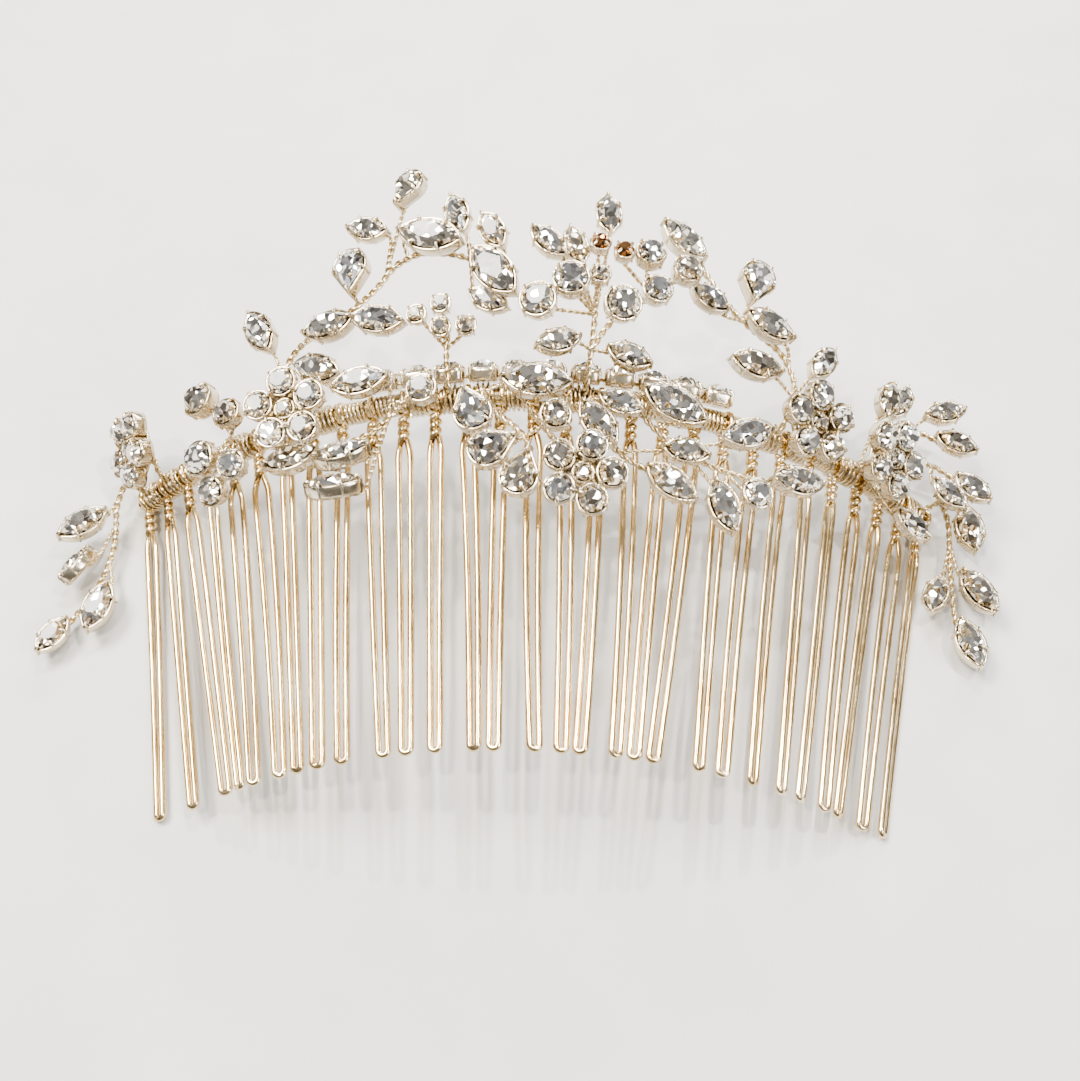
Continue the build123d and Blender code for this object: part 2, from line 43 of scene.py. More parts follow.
comb = {
    "teeth": 29, "pitch": 3.9, "reach": 42.0, "wire": 0.8, "gapTip": 1.05, "headCurve": 40.0, "fan": 15.0,
    "spine": 1.8, "eyeGap": 0.05, "binding": 0.5, "middle": (1.1, 11.0),
}
halfRow = (comb["teeth"] - 1) / 2 * comb["pitch"]
rowTurn = math.radians(math.hypot(comb["headCurve"], comb["fan"]))
slope = math.atan2(comb["fan"], comb["headCurve"])
coneRadius = halfRow / rowTurn
eyeRadius = comb["spine"] / 2 + comb["eyeGap"] + comb["wire"] / 2
windRadius = comb["spine"] / 2 + comb["eyeGap"] + comb["binding"] / 2
rootTop = comb["spine"] / 2 + comb["eyeGap"] + comb["binding"]


# the comb follows a cone that is dipped so that both end teeth and both end eyes touch the table
def restOn():
    fall = math.cos(rowTurn) * math.sin(slope)
    reach = math.hypot(math.cos(slope), fall)
    dip = 0.0
    for step in range(8):
        endSlope = math.sin(rowTurn) * math.cos(dip)
        eyeDrop = eyeRadius * math.sqrt(1 - endSlope**2) + comb["wire"] / 2
        tipDrop = comb["gapTip"] / 2 * endSlope + comb["wire"] / 2
        dip = math.asin((eyeDrop - tipDrop) / comb["reach"] / reach) - math.atan2(fall, math.cos(slope))
    endSlope = math.sin(rowTurn) * math.cos(dip)
    return dip, eyeRadius * math.sqrt(1 - endSlope**2) + comb["wire"] / 2


dip, eyeDrop = restOn()
coneAxis = Vector((0, -math.cos(dip), -math.sin(dip)))
middleRadial = Vector((0, -math.sin(dip), math.cos(dip)))
height = coneRadius * middleRadial.z * (1 - math.cos(rowTurn)) + eyeDrop
coneCentre = Vector((*comb["middle"], height)) - middleRadial * coneRadius


def axes(x, y, z, origin):
    grid = Matrix((x, y, z)).transposed().to_4x4()
    grid.translation = origin
    return grid


# x along the spine, y away from the tips, z out of the comb's face
def combFrame(place):
    turn = place * comb["pitch"] / coneRadius
    radial = middleRadial * math.cos(turn) + Vector((1, 0, 0)) * math.sin(turn)
    along = Vector((1, 0, 0)) * math.cos(turn) - middleRadial * math.sin(turn)
    outward = radial * math.cos(slope) + coneAxis * math.sin(slope)
    return axes(along, outward.cross(along), outward, coneCentre + radial * coneRadius)


def levelFrame(place):
    return Matrix.Translation(combFrame(place).translation)


def turned(point, heading=0.0, lift=0.0, roll=0.0):
    turn = [Matrix.Rotation(math.radians(a), 4, k) for a, k in ((heading, "Z"), (-lift, "Y"), (roll, "X"))]
    return Matrix.Translation(point) @ turn[0] @ turn[1] @ turn[2]


# ---------- meshes from lists
def newMesh(name, points, faces=(), edges=(), material=None, smooth=True):
    data = bpy.data.meshes.new(name)
    data.from_pydata([tuple(p) for p in points], list(edges), list(faces))
    data.update()
    if faces:
        data.polygons.foreach_set("use_smooth", [smooth] * len(faces))
    if material:
        data.materials.append(material)
    piece = bpy.data.objects.new(name, data)
    bpy.context.scene.collection.objects.link(piece)
    return piece


def joinAll(name, parts):
    parts = [p for p in parts if p]
    bpy.ops.object.select_all(action="DESELECT")
    with bpy.context.temp_override(active_object=parts[0], selected_editable_objects=parts):
        if len(parts) > 1:
            bpy.ops.object.join()
    parts[0].name = name
    parts[0].data.name = name
    return parts[0]


def rounded(points, share=0.45, steps=7):
    points = [Vector(p) for p in points]
    out = [points[0]]
    for a, b, c in zip(points, points[1:], points[2:]):
        cut = share * min((b - a).length, (c - b).length)
        p = b + (a - b).normalized() * cut
        q = b + (c - b).normalized() * cut
        for step in range(steps + 1):
            t = step / steps
            out.append(p * (1 - t) ** 2 + b * (2 * t * (1 - t)) + q * t * t)
    out.append(points[-1])
    return out


def evenly(points, spacing):
    out, carry = [points[0]], 0.0
    for a, b in zip(points, points[1:]):
        run = (b - a).length
        at = spacing - carry
        while at < run:
            out.append(a.lerp(b, at / run))
            at += spacing
        carry = (carry + run) % spacing
    if (out[-1] - points[-1]).length > spacing * 0.3:
        out.append(points[-1])
    return out


# a round tube along points, closed at both ends; radii may change along it
def tube(points, radius, sides=8, ends=(0.55, 0.16)):
    count = len(points)
    radii = [radius] * count if isinstance(radius, float) else radius
    tangents = [(points[min(i + 1, count - 1)] - points[max(i - 1, 0)]).normalized() for i in range(count)]
    normal = tangents[0].orthogonal().normalized()
    rings = []
    for i, (point, tangent) in enumerate(zip(points, tangents)):
        normal = (normal - tangent * normal.dot(tangent)).normalized()
        side = tangent.cross(normal)
        rings.append((point, normal.copy(), side, tangent, radii[i]))
    share, bulge = ends
    first, last = rings[0], rings[-1]
    rings.insert(0, (first[0] - first[3] * first[4] * bulge, first[1], first[2], first[3], first[4] * share))
    rings.append((last[0] + last[3] * last[4] * bulge, last[1], last[2], last[3], last[4] * share))
    verts, faces = [], []
    for point, across, side, tangent, size in rings:
        for k in range(sides):
            angle = 2 * math.pi * k / sides
            verts.append(point + (across * math.cos(angle) + side * math.sin(angle)) * size)
    for r in range(len(rings) - 1):
        for k in range(sides):
            a, b = r * sides + k, r * sides + (k + 1) % sides
            faces.append((a, b, b + sides, a + sides))
    faces.append(tuple(reversed(range(sides))))
    faces.append(tuple((len(rings) - 1) * sides + k for k in range(sides)))
    return verts, faces


class Lump:
    def __init__(self):
        self.verts, self.faces = [], []

    def add(self, shape, place=None):
        verts, faces = shape
        start = len(self.verts)
        self.verts += [place @ v for v in verts] if place else verts
        self.faces += [tuple(i + start for i in face) for face in faces]

    def piece(self, name, material, smooth=True):
        return newMesh(name, [v * mm for v in self.verts], self.faces, (), material, smooth)


# ---------- shader node groups, built once
def nodeGroup(name, outputs):
    group = bpy.data.node_groups.new(name, "ShaderNodeTree")
    for label, kind in outputs:
        group.interface.new_socket(label, in_out="OUTPUT", socket_type=kind)
    return group, group.nodes.new("NodeGroupOutput")


def addNode(tree, kind, values=(), **settings):
    node = tree.nodes.new(kind)
    for key, value in settings.items():
        setattr(node, key, value)
    for key, value in dict(values).items():
        node.inputs[key].default_value = value
    return node


def ramp(tree, source, stops):
    node = addNode(tree, "ShaderNodeValToRGB")
    tree.links.new(source, node.inputs[0])
    bar = node.color_ramp
    while len(bar.elements) < len(stops):
        bar.elements.new(0.5)
    for element, (spot, shade) in zip(bar.elements, stops):
        element.position = spot
        element.color = (*shade, 1) if len(shade) == 3 else shade
    return node.outputs["Color"]


# slow drift of tone, fine drawn grain and small worn spots on plated wire
def wireWear():
    group, out = nodeGroup("wireWear", [("Drift", "NodeSocketFloat"), ("Spots", "NodeSocketFloat"), ("Normal", "NodeSocketVector")])
    where = addNode(group, "ShaderNodeTexCoord").outputs["Object"]
    drift = addNode(group, "ShaderNodeTexNoise", {"Scale": 140.0, "Detail": 3.0, "Roughness": 0.6})
    spots = addNode(group, "ShaderNodeTexNoise", {"Scale": 900.0, "Detail": 4.0, "Roughness": 0.7})
    grain = addNode(group, "ShaderNodeTexNoise", {"Scale": 2600.0, "Detail": 2.0, "Roughness": 0.5})
    for node in (drift, spots, grain):
        group.links.new(where, node.inputs["Vector"])
    bump = addNode(group, "ShaderNodeBump", {"Strength": 0.22, "Distance": 0.00006})
    group.links.new(grain.outputs["Fac"], bump.inputs["Height"])
    group.links.new(drift.outputs["Fac"], out.inputs["Drift"])
    group.links.new(spots.outputs["Fac"], out.inputs["Spots"])
    group.links.new(bump.outputs["Normal"], out.inputs["Normal"])
    return group


# each facet of a stone gets its own tilt and a painted brightness: painted glints and painted dark facets stand in for
# the light a cut stone shows from the facets behind it
def paintedFacetLight():
    group, out = nodeGroup("paintedFacetLight", [("Shade", "NodeSocketFloat"), ("Tone", "NodeSocketFloat"), ("Normal", "NodeSocketVector")])
    facet = addNode(group, "ShaderNodeAttribute", attribute_name="facet")
    tone = addNode(group, "ShaderNodeAttribute", attribute_name="tone")
    where = addNode(group, "ShaderNodeTexCoord").outputs["Object"]
    cells = addNode(group, "ShaderNodeTexVoronoi", {"Scale": 1500.0}, feature="F1")
    group.links.new(where, cells.inputs["Vector"])
    shift = addNode(group, "ShaderNodeVectorMath", operation="SUBTRACT")
    group.links.new(cells.outputs["Color"], shift.inputs[0])
    shift.inputs[1].default_value = (0.5, 0.5, 0.5)
    scale = addNode(group, "ShaderNodeVectorMath", operation="SCALE")
    scale.inputs["Scale"].default_value = 1.1
    group.links.new(shift.outputs[0], scale.inputs[0])
    face = addNode(group, "ShaderNodeNewGeometry")
    total = addNode(group, "ShaderNodeVectorMath", operation="ADD")
    group.links.new(face.outputs["Normal"], total.inputs[0])
    group.links.new(scale.outputs[0], total.inputs[1])
    unit = addNode(group, "ShaderNodeVectorMath", operation="NORMALIZE")
    group.links.new(total.outputs[0], unit.inputs[0])
    split = addNode(group, "ShaderNodeSeparateColor")
    group.links.new(cells.outputs["Color"], split.inputs[0])
    mix = addNode(group, "ShaderNodeMath", operation="MULTIPLY_ADD")
    mix.inputs[1].default_value = 0.5
    group.links.new(split.outputs[0], mix.inputs[0])
    half = addNode(group, "ShaderNodeMath", operation="MULTIPLY")
    half.inputs[1].default_value = 0.5
    group.links.new(facet.outputs["Fac"], half.inputs[0])
    group.links.new(half.outputs[0], mix.inputs[2])
    group.links.new(mix.outputs[0], out.inputs["Shade"])
    group.links.new(tone.outputs["Fac"], out.inputs["Tone"])
    group.links.new(unit.outputs[0], out.inputs["Normal"])
    return group


def newMaterial(name):
    material = bpy.data.materials.new(name)
    material.use_nodes = True
    tree = material.node_tree
    return material, tree, tree.nodes["Principled BSDF"]


def useGroup(tree, group):
    node = tree.nodes.new("ShaderNodeGroup")
    node.node_tree = group
    return node.outputs


wear = wireWear()
paintedLight = paintedFacetLight()


def platedWire(name, settings):
    material, tree, skin = newMaterial(name)
    parts = useGroup(tree, wear)
    base = ramp(tree, parts["Drift"], [(0.32, settings["deep"]), (0.55, settings["base"]), (0.75, settings["pale"])])
    worn = ramp(tree, parts["Spots"], [(0.58, (0, 0, 0)), (0.78, (1, 1, 1))])
    mix = addNode(tree, "ShaderNodeMix", data_type="RGBA")
    tree.links.new(worn, mix.inputs["Factor"])
    tree.links.new(base, mix.inputs[6])
    mix.inputs[7].default_value = (*settings["worn"], 1)
    tree.links.new(mix.outputs[2], skin.inputs["Base Color"])
    rough = addNode(tree, "ShaderNodeMapRange")
    rough.inputs["From Min"].default_value = 0.3
    rough.inputs["From Max"].default_value = 0.75
    rough.inputs["To Min"].default_value = settings["smooth"]
    rough.inputs["To Max"].default_value = settings["rough"]
    tree.links.new(parts["Spots"], rough.inputs["Value"])
    tree.links.new(rough.outputs[0], skin.inputs["Roughness"])
    tree.links.new(parts["Normal"], skin.inputs["Normal"])
    skin.inputs["Metallic"].default_value = 1.0
    return material


def cutCrystal(name, settings):
    material, tree, skin = newMaterial(name)
    parts = useGroup(tree, paintedLight)
    # the per-facet value is painted into the base colour as light and shade: painted glints and painted dark facets;
    # the tint is each stone's own tone, differing at random
    light = ramp(tree, parts["Shade"], settings["shades"])
    tint = ramp(tree, parts["Tone"], settings["tints"])
    mix = addNode(tree, "ShaderNodeMix", data_type="RGBA", blend_type="MULTIPLY")
    mix.inputs["Factor"].default_value = 1.0
    tree.links.new(light, mix.inputs[6])
    tree.links.new(tint, mix.inputs[7])
    tree.links.new(mix.outputs[2], skin.inputs["Base Color"])
    tree.links.new(parts["Normal"], skin.inputs["Normal"])
    skin.inputs["Metallic"].default_value = 1.0
    skin.inputs["Roughness"].default_value = 0.06
    skin.inputs["Coat Weight"].default_value = 1.0
    skin.inputs["Coat Roughness"].default_value = 0.02
    skin.inputs["Coat IOR"].default_value = 1.6
    return material


combWire = platedWire("combWire", {
    "deep": (0.64, 0.47, 0.25), "base": (0.84, 0.68, 0.43), "pale": (0.92, 0.80, 0.59), "worn": (0.54, 0.43, 0.30),
    "smooth": 0.09, "rough": 0.26,
})
fineWire = platedWire("fineWire", {
    "deep": (0.64, 0.52, 0.33), "base": (0.83, 0.71, 0.50), "pale": (0.92, 0.83, 0.66), "worn": (0.44, 0.35, 0.25),
    "smooth": 0.14, "rough": 0.34,
})
settingMetal = platedWire("settingMetal", {
    "deep": (0.62, 0.52, 0.37), "base": (0.80, 0.71, 0.55), "pale": (0.92, 0.86, 0.74), "worn": (0.46, 0.39, 0.30),
    "smooth": 0.12, "rough": 0.32,
})
# shades: painted facet brightness, from painted dark facets to painted glints; tints: the stones' own tone, differing
# at random
crystal = cutCrystal("crystal", {
    "shades": [(0.04, (0.16, 0.14, 0.12)), (0.22, (0.58, 0.55, 0.51)), (0.42, (0.94, 0.92, 0.89)), (0.8, (1.0, 1.0, 1.0))],
    "tints": [(0.0, (1.0, 0.90, 0.75)), (0.5, (1.0, 0.97, 0.91)), (0.96, (0.97, 0.98, 1.0)), (1.0, (0.97, 0.98, 1.0))],
})
amber = cutCrystal("amberCrystal", {
    "shades": [(0.05, (0.05, 0.03, 0.02)), (0.4, (0.42, 0.22, 0.09)), (0.75, (0.95, 0.62, 0.30)), (1.0, (1.0, 0.86, 0.62))],
    "tints": [(0.0, (1.0, 0.85, 0.7)), (1.0, (1.0, 0.93, 0.85))],
})
print("materials ready")


# ---------- geometry node trees for what repeats or follows a path
def newTree(name, inputs):
    tree = bpy.data.node_groups.new(name, "GeometryNodeTree")
    tree.interface.new_socket("Geometry", in_out="INPUT", socket_type="NodeSocketGeometry")
    for label, kind in inputs:
        tree.interface.new_socket(label, in_out="INPUT", socket_type=kind)
    tree.interface.new_socket("Geometry", in_out="OUTPUT", socket_type="NodeSocketGeometry")
    return tree, tree.nodes.new("NodeGroupInput").outputs, tree.nodes.new("NodeGroupOutput").inputs


def link(tree, *pairs):
    for source, target in pairs:
        tree.links.new(source, target)


# strands of wire wound round a path: one strand makes a binding, two make a twisted stem
def woundWire():
    kinds = [("Strands", "NodeSocketInt"), ("Offset", "NodeSocketFloat"), ("Wire Radius", "NodeSocketFloat"),
             ("Turn Length", "NodeSocketFloat"), ("Spacing", "NodeSocketFloat"), ("Sides", "NodeSocketInt"),
             ("Wobble", "NodeSocketFloat"), ("Seed", "NodeSocketInt"), ("Material", "NodeSocketMaterial")]
    tree, given, result = newTree("woundWire", kinds)
    curve = addNode(tree, "GeometryNodeMeshToCurve")
    even = addNode(tree, "GeometryNodeResampleCurve", mode="LENGTH")
    copies = addNode(tree, "GeometryNodeDuplicateElements", domain="SPLINE")
    place = addNode(tree, "GeometryNodeSetPosition")
    spline = addNode(tree, "GeometryNodeSplineParameter")
    tangent = addNode(tree, "GeometryNodeInputTangent")
    normal = addNode(tree, "GeometryNodeInputNormal")
    turns = addNode(tree, "ShaderNodeMath", operation="DIVIDE")
    link(tree, (spline.outputs["Length"], turns.inputs[0]), (given["Turn Length"], turns.inputs[1]))
    phase = addNode(tree, "ShaderNodeMath", operation="DIVIDE")
    link(tree, (copies.outputs["Duplicate Index"], phase.inputs[0]), (given["Strands"], phase.inputs[1]))
    total = addNode(tree, "ShaderNodeMath", operation="ADD")
    link(tree, (turns.outputs[0], total.inputs[0]), (phase.outputs[0], total.inputs[1]))
    angle = addNode(tree, "ShaderNodeMath", {1: 2 * math.pi}, operation="MULTIPLY")
    link(tree, (total.outputs[0], angle.inputs[0]))
    turn = addNode(tree, "ShaderNodeVectorRotate", rotation_type="AXIS_ANGLE")
    link(tree, (normal.outputs[0], turn.inputs["Vector"]), (tangent.outputs[0], turn.inputs["Axis"]), (angle.outputs[0], turn.inputs["Angle"]))
    stray = addNode(tree, "FunctionNodeRandomValue", data_type="FLOAT")
    stray.inputs[2].default_value = -1.0
    stray.inputs[3].default_value = 1.0
    link(tree, (given["Seed"], stray.inputs["Seed"]))
    grow = addNode(tree, "ShaderNodeMath", {2: 1.0}, operation="MULTIPLY_ADD")
    link(tree, (stray.outputs[1], grow.inputs[0]), (given["Wobble"], grow.inputs[1]))
    reach = addNode(tree, "ShaderNodeMath", operation="MULTIPLY")
    link(tree, (grow.outputs[0], reach.inputs[0]), (given["Offset"], reach.inputs[1]))
    shift = addNode(tree, "ShaderNodeVectorMath", operation="SCALE")
    link(tree, (turn.outputs[0], shift.inputs[0]), (reach.outputs[0], shift.inputs["Scale"]))
    profile = addNode(tree, "GeometryNodeCurvePrimitiveCircle", mode="RADIUS")
    link(tree, (given["Sides"], profile.inputs["Resolution"]), (given["Wire Radius"], profile.inputs["Radius"]))
    skin = addNode(tree, "GeometryNodeCurveToMesh", {"Fill Caps": True})
    soft = addNode(tree, "GeometryNodeSetShadeSmooth")
    whole = addNode(tree, "GeometryNodeRealizeInstances")
    paint = addNode(tree, "GeometryNodeSetMaterial")
    link(tree, (given["Geometry"], curve.inputs[0]), (curve.outputs[0], even.inputs["Curve"]), (given["Spacing"], even.inputs["Length"]),
         (even.outputs[0], copies.inputs["Geometry"]), (given["Strands"], copies.inputs["Amount"]),
         (copies.outputs["Geometry"], place.inputs["Geometry"]), (shift.outputs[0], place.inputs["Offset"]),
         (place.outputs[0], skin.inputs["Curve"]), (profile.outputs[0], skin.inputs["Profile Curve"]),
         (skin.outputs[0], soft.inputs["Geometry"]), (soft.outputs[0], whole.inputs[0]), (whole.outputs[0], paint.inputs["Geometry"]),
         (given["Material"], paint.inputs["Material"]), (paint.outputs[0], result[0]))
    return tree


# one shape set on every point, turned by the points' own attribute, with a tone for each and a value for each facet
# that the crystal shader turns into painted glints and painted dark facets
def setOnPoints():
    tree, given, result = newTree("setOnPoints", [("Shape", "NodeSocketObject"), ("Seed", "NodeSocketInt"), ("Material", "NodeSocketMaterial")])
    shape = addNode(tree, "GeometryNodeObjectInfo", transform_space="ORIGINAL")
    link(tree, (given["Shape"], shape.inputs["Object"]))
    turn = addNode(tree, "GeometryNodeInputNamedAttribute", {"Name": "turn"}, data_type="FLOAT_VECTOR")
    spread = addNode(tree, "GeometryNodeInstanceOnPoints")
    tone = addNode(tree, "FunctionNodeRandomValue", data_type="FLOAT")
    facet = addNode(tree, "FunctionNodeRandomValue", data_type="FLOAT")
    link(tree, (given["Seed"], tone.inputs["Seed"]), (given["Seed"], facet.inputs["Seed"]))
    keepTone = addNode(tree, "GeometryNodeStoreNamedAttribute", {"Name": "tone"}, data_type="FLOAT", domain="INSTANCE")
    keepFacet = addNode(tree, "GeometryNodeStoreNamedAttribute", {"Name": "facet"}, data_type="FLOAT", domain="FACE")
    whole = addNode(tree, "GeometryNodeRealizeInstances")
    paint = addNode(tree, "GeometryNodeSetMaterial")
    link(tree, (given["Geometry"], spread.inputs["Points"]), (shape.outputs["Geometry"], spread.inputs["Instance"]),
         (turn.outputs["Attribute"], spread.inputs["Rotation"]), (spread.outputs[0], keepTone.inputs["Geometry"]),
         (tone.outputs[1], keepTone.inputs["Value"]), (keepTone.outputs[0], whole.inputs[0]), (whole.outputs[0], keepFacet.inputs["Geometry"]),
         (facet.outputs[1], keepFacet.inputs["Value"]), (keepFacet.outputs[0], paint.inputs["Geometry"]),
         (given["Material"], paint.inputs["Material"]), (paint.outputs[0], result[0]))
    return tree


woundTree = woundWire()
pointsTree = setOnPoints()


def grow(piece, tree, values):
    modifier = piece.modifiers.new("grow", "NODES")
    modifier.node_group = tree
    for item in tree.interface.items_tree:
        if item.item_type == "SOCKET" and item.in_out == "INPUT" and item.name in values:
            modifier[item.identifier] = values[item.name]
    bpy.context.view_layer.update()
    evaluated = piece.evaluated_get(bpy.context.evaluated_depsgraph_get())
    grown = bpy.data.meshes.new_from_object(evaluated)
    piece.modifiers.clear()
    piece.data = grown
    return piece


def wound(name, paths, settings, material):
    verts, edges = [], []
    for path in paths:
        start = len(verts)
        verts += [p * mm for p in path]
        edges += [(start + i, start + i + 1) for i in range(len(path) - 1)]
    piece = newMesh(name, verts, (), edges)
    values = {"Strands": settings["strands"], "Offset": settings["offset"] * mm, "Wire Radius": settings["radius"] * mm,
              "Turn Length": settings["turn"] * mm, "Spacing": settings["spacing"] * mm, "Sides": settings["sides"],
              "Wobble": settings["wobble"], "Seed": settings["seed"], "Material": material}
    return grow(piece, woundTree, values)


def setShapes(name, shape, places, seed, material):
    piece = newMesh(name, [place.translation * mm for place in places])
    turn = piece.data.attributes.new("turn", "FLOAT_VECTOR", "POINT")
    for i, place in enumerate(places):
        turn.data[i].vector = tuple(place.to_euler("XYZ"))
    return grow(piece, pointsTree, {"Shape": shape, "Seed": seed, "Material": material})


# ---------- stones and their settings
gems = {
    "big": ("marquise", 7.6, 3.7, 0.9, 1.3), "leaf": ("marquise", 6.2, 3.0, 0.8, 1.1), "bud": ("marquise", 4.8, 2.5, 0.7, 0.9),
    "pear": ("pear", 5.4, 3.9, 0.9, 1.2), "drop": ("pear", 4.4, 3.1, 0.8, 1.0), "largeRound": ("round", 3.7, 3.7, 0.9, 1.3),
    "round": ("round", 3.0, 3.0, 0.8, 1.1), "bead": ("round", 1.9, 1.9, 0.6, 0.8),
}
fitting = {"wall": 0.3, "floor": 0.4, "gap": 0.05, "girdle": 0.3, "solder": 0.12, "soldered": 2.0, "stem": 0.8, "twig": 0.5}


# points round a stone's outline, the first on +X, moved outwards by grow
def outline(kind, count, spread=0.0, square=False):
    shape, length, width = gems[kind][:3]
    points = []
    if shape == "round":
        for k in range(count):
            a = 2 * math.pi * k / count
            reach = length / 2
            if square:
                reach *= 1.0 / (abs(math.cos(a)) ** 5 + abs(math.sin(a)) ** 5) ** 0.2
            points.append(Vector((reach * math.cos(a), reach * math.sin(a), 0)))
    elif shape == "marquise":
        bow = (length**2 + width**2) / (4 * width)
        reach = math.asin(length / 2 / bow)
        for k in range(count):
            half = k % (count // 2)
            a = reach - 2 * reach * half / (count // 2)
            sign = 1 if k < count // 2 else -1
            points.append(Vector((bow * math.sin(a) * sign, (width / 2 - bow + bow * math.cos(a)) * sign, 0)))
    else:
        bow = width / 2
        centre = length / 2 - bow
        reach = math.pi - math.acos(bow / (length - bow))
        onArc = round(count * 0.31)
        half = [Vector((centre + bow * math.cos(reach * k / onArc), bow * math.sin(reach * k / onArc), 0)) for k in range(onArc + 1)]
        rest = count // 2 - onArc
        half += [half[onArc].lerp(Vector((-length / 2, 0, 0)), k / rest) for k in range(1, rest + 1)]
        points = half + [Vector((p.x, -p.y, 0)) for p in reversed(half[1:-1])]
    if spread:
        moved = []
        for i, p in enumerate(points):
            along = points[(i + 1) % len(points)] - points[i - 1]
            moved.append(p + Vector((along.y, -along.x, 0)).normalized() * spread)
        points = moved
    return points


def lift(points, z, scale=1.0):
    return [Vector((p.x * scale, p.y * scale, z)) for p in points]


# table, stars, kites and girdle facets over a girdle band, and a pointed pavilion
def cutStone(kind):
    crown, pavilion = gems[kind][3:]
    belt = outline(kind, 16)
    top = fitting["girdle"]
    verts = lift(belt, 0) + lift(belt, top)
    star = len(verts)
    verts += lift([belt[2 * j] for j in range(8)], top + crown * 0.62, 0.80)
    table = len(verts)
    verts += lift([belt[(2 * j + 1) % 16] for j in range(8)], top + crown, 0.60)
    culet = len(verts)
    verts += lift([belt[(2 * j + 1) % 16] for j in range(8)], -pavilion, 0.25)
    faces = [tuple(table + j for j in range(8)), tuple(culet + j for j in reversed(range(8)))]
    for i in range(16):
        faces.append((i, (i + 1) % 16, 16 + (i + 1) % 16, 16 + i))
    for j in range(8):
        odd, after = 2 * j + 1, (2 * j + 2) % 16
        nextStar, lastTable = star + (j + 1) % 8, table + (j - 1) % 8
        faces.append((lastTable, star + j, table + j))
        faces.append((table + j, star + j, 16 + odd))
        faces.append((table + j, 16 + odd, nextStar))
        faces.append((star + j, 16 + 2 * j, 16 + odd))
        faces.append((nextStar, 16 + odd, 16 + after))
        faces.append((2 * j, culet + (j - 1) % 8, culet + j))
        faces.append((2 * j, culet + j, odd))
        faces.append((odd, culet + j, after))
    return verts, faces


clawPlaces = {"marquise": (0, 5, 11, 16, 21, 27), "pear": (3, 9, 16, 23, 29), "round": (4, 12, 20, 28)}


# a thin pressed wall with a rolled rim, and claws folded over the stone
def setting(kind, square=False):
    shape, length, width, crown, pavilion = gems[kind]
    count = 32
    rim = fitting["floor"] + pavilion + fitting["girdle"] / 2
    lump = Lump()
    rings = [(-0.12, 0.0), (0.14, 0.02), (0.27, rim * 0.3), (0.33, rim * 0.72), (0.35, rim - 0.07), (0.30, rim),
             (0.12, rim + 0.01), (0.06, rim - 0.06), (0.05, rim * 0.6)]
    verts, faces = [], []
    for spread, z in rings:
        verts += lift(outline(kind, count, spread, square), z)
    for r in range(len(rings) - 1):
        for k in range(count):
            a, b = r * count + k, r * count + (k + 1) % count
            faces.append((a, b, b + count, a + count))
    faces.append(tuple(reversed(range(count))))
    faces.append(tuple((len(rings) - 1) * count + k for k in range(count)))
    lump.add((verts, faces))
    low, high = outline(kind, count, 0.34, square), outline(kind, count, 0.30, square)
    inner = outline(kind, count, -0.28, square and kind != "bead")
    size = 0.15 if kind == "bead" else 0.19
    for at in clawPlaces[shape]:
        path = [low[at] + Vector((0, 0, rim * 0.2)), high[at] + Vector((0, 0, rim * 0.8)), high[at] * 0.99 + Vector((0, 0, rim + 0.26)),
                inner[at] + Vector((0, 0, rim + fitting["girdle"] / 2 + 0.34))]
        path = rounded(path, 0.4, 3)
        grow = [size * (0.8 + 0.35 * i / (len(path) - 1)) for i in range(len(path))]
        lump.add(tube(path, grow, 7, (0.6, 0.5)))
    return lump


def prototype(name, lump, smooth):
    piece = lump.piece(name, None, smooth)
    piece.hide_render = True
    return piece


stoneShapes, settingShapes = {}, {}
for kind in gems:
    lump = Lump()
    lump.add(cutStone(kind))
    stoneShapes[kind] = prototype("stoneShape" + kind, lump, False)
    settingShapes[kind] = prototype("settingShape" + kind, setting(kind), True)
settingShapes["square"] = prototype("settingShapeSquare", setting("round", True), True)
print("stones and settings shaped")


def cupHalf(kind):
    return gems[kind][1] / 2 + fitting["gap"] + fitting["wall"]


def seatHeight(kind):
    return fitting["floor"] + gems[kind][4]


# ---------- a spray collects its wires and stones, then becomes two pieces
root = [(0, 0, rootTop), (0, 0, rootTop + 1.2)]
spray = {}


def startSpray(name):
    spray.clear()
    spray.update({"name": name, "at": None, "stems": [], "twigs": [], "plates": [], "gems": {}, "amber": [], "wraps": []})


def standOn(place):
    spray["at"] = place


def levelRoot(place):
    return [tuple(levelFrame(place).inverted() @ (combFrame(place) @ Vector(p))) for p in root]


def middle(stem, run):
    return tuple((Vector(stem[run]) + Vector(stem[run + 1])) / 2)


def addPath(group, points):
    spray[group].append(evenly([spray["at"] @ p for p in rounded(points)], 0.25))


def addStem(stem):
    addPath("stems", stem)


def addGem(place, kind, setKind=None):
    whole = spray["at"] @ place
    spray["gems"].setdefault(kind, []).append(whole)


def addLeaf(kind, point, heading, lift=0.0, roll=0.0, twig=None):
    place = turned(point, heading, lift, roll)
    if twig:
        addPath("twigs", [twig, point, tuple((place @ Matrix.Translation((fitting["soldered"], 0, 0))).translation)])
    rise = fitting["twig"] / 2 - fitting["solder"]
    addGem(place @ Matrix.Translation((cupHalf(kind), 0, rise)), kind)


def tilted(point, tilt):
    x, y, z = (math.radians(a) for a in tilt)
    return Matrix.Translation(point) @ Matrix.Rotation(x, 4, "X") @ Matrix.Rotation(y, 4, "Y") @ Matrix.Rotation(z, 4, "Z")


def addRose(kind, point, tilt, foot, warm=False):
    place = tilted(point, tilt)
    ends = [tuple((place @ Matrix.Translation((0, 0, z))).translation) for z in (-fitting["stem"], fitting["solder"])]
    addPath("twigs", [foot, *ends])
    addGem(place, "warm" if warm else kind)


